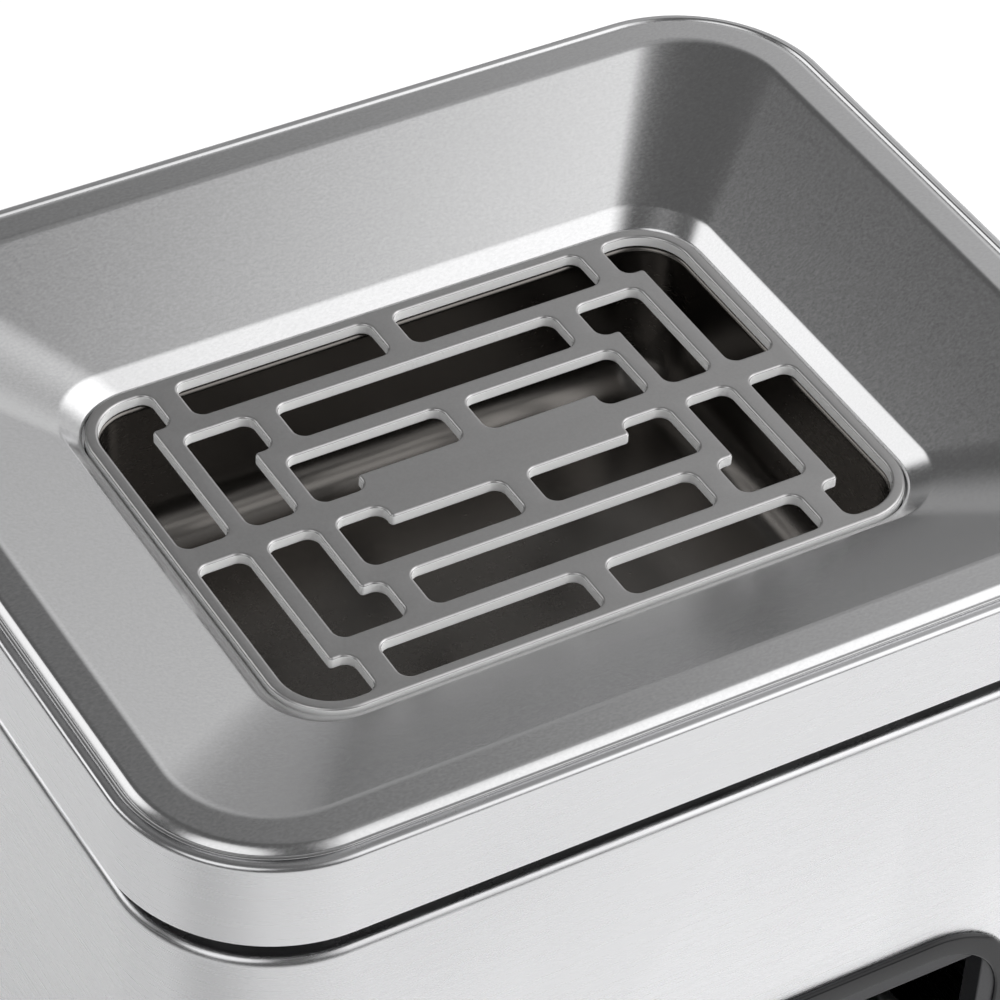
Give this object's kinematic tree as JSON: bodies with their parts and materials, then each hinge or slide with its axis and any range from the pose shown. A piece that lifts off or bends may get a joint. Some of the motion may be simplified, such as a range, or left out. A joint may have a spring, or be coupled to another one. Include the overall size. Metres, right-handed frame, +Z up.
{
  "type": "litter bin with ash tray top",
  "caption": "Free-standing stainless litter bin: lift-off cap with a dished ash tray, slotted grille and ash pan, side litter window and lift-out pail.",
  "frame": {"origin": "centre of the bin's footprint, on the floor", "axes": "+Z up; the litter window faces -Y; +X to the right when facing the window"},
  "size_m": [0.3, 0.248, 0.61],
  "materials": {
    "foot_rubber": "moulded matt rubber",
    "zinc_fixings": "bright zinc plate",
    "black_plastic": "moulded black plastic",
    "inner_steel": "plain cold-rolled sheet",
    "brushed_sleeve": "vertical-reflection brushed stainless sheet",
    "brushed_cap": "fine brushed stainless sheet",
    "satin_tray": "satin pressed stainless sheet",
    "grille_steel": "bead-blasted top with polished slot edges",
    "pan_steel": "drawn stainless, slightly smoked",
    "pail_zinc": "galvanised sheet",
    "bail_steel": "bright drawn wire",
    "black_collar": "semi-gloss black",
    "gloss_black": "gloss black moulding",
    "satin_black": "satin dark grey moulding"
  },
  "bodies": {
    "housing": {"rubber_feet": "foot_rubber", "foot_screws": "zinc_fixings", "foot_plates": "black_plastic", "base_plinth": "black_plastic", "base_floor": "inner_steel", "floor_screws": "zinc_fixings", "body_shell": "brushed_sleeve", "seam_strip": "inner_steel", "seam_rivets": "zinc_fixings", "top_collar": "black_collar", "collar_studs": "zinc_fixings", "collar_nuts": "zinc_fixings", "bezel_trim": "gloss_black", "opening_frame": "satin_black", "frame_retainer": "inner_steel", "retainer_screws": "zinc_fixings"},
    "cap": {"cap_band": "brushed_cap", "dished_tray": "satin_tray", "tray_clips": "inner_steel", "clip_screws": "zinc_fixings", "rest_pads": "foot_rubber", "locating_blocks": "black_plastic"},
    "grille": {"grille_plate": "grille_steel"},
    "pan": {"ash_pan": "pan_steel"},
    "liner": {"liner_pail": "pail_zinc", "rim_wire": "pail_zinc", "pail_ears": "zinc_fixings", "ear_rivets": "zinc_fixings"},
    "bail": {"bail_wire": "bail_steel", "bail_grip": "black_plastic"}
  },
  "joints": [
    {"name": "cap_lift", "type": "slide", "parent": "housing", "child": "cap", "axis": [0, 0, 1], "range_m": [0, 0.75]},
    {"name": "grille_lift", "type": "slide", "parent": "cap", "child": "grille", "axis": [0, 0, 1], "range_m": [0, 0.16]},
    {"name": "pan_lift", "type": "slide", "parent": "cap", "child": "pan", "axis": [0, 0, 1], "range_m": [0, 0.08]},
    {"name": "liner_lift", "type": "slide", "parent": "housing", "child": "liner", "axis": [0, 0, 1], "range_m": [0, 0.58]},
    {"name": "bail_hinge", "type": "hinge", "parent": "liner", "child": "bail", "pos_m": [0, 0, 0.3416], "axis": [1, 0, 0], "range_deg": [0, 180]}
  ],
  "couplings": [
    {"joint": "pan_lift", "follows": "grille_lift", "ratio": 0.5},
    {"joint": "liner_lift", "follows": "cap_lift", "ratio": 0.7733}
  ]
}
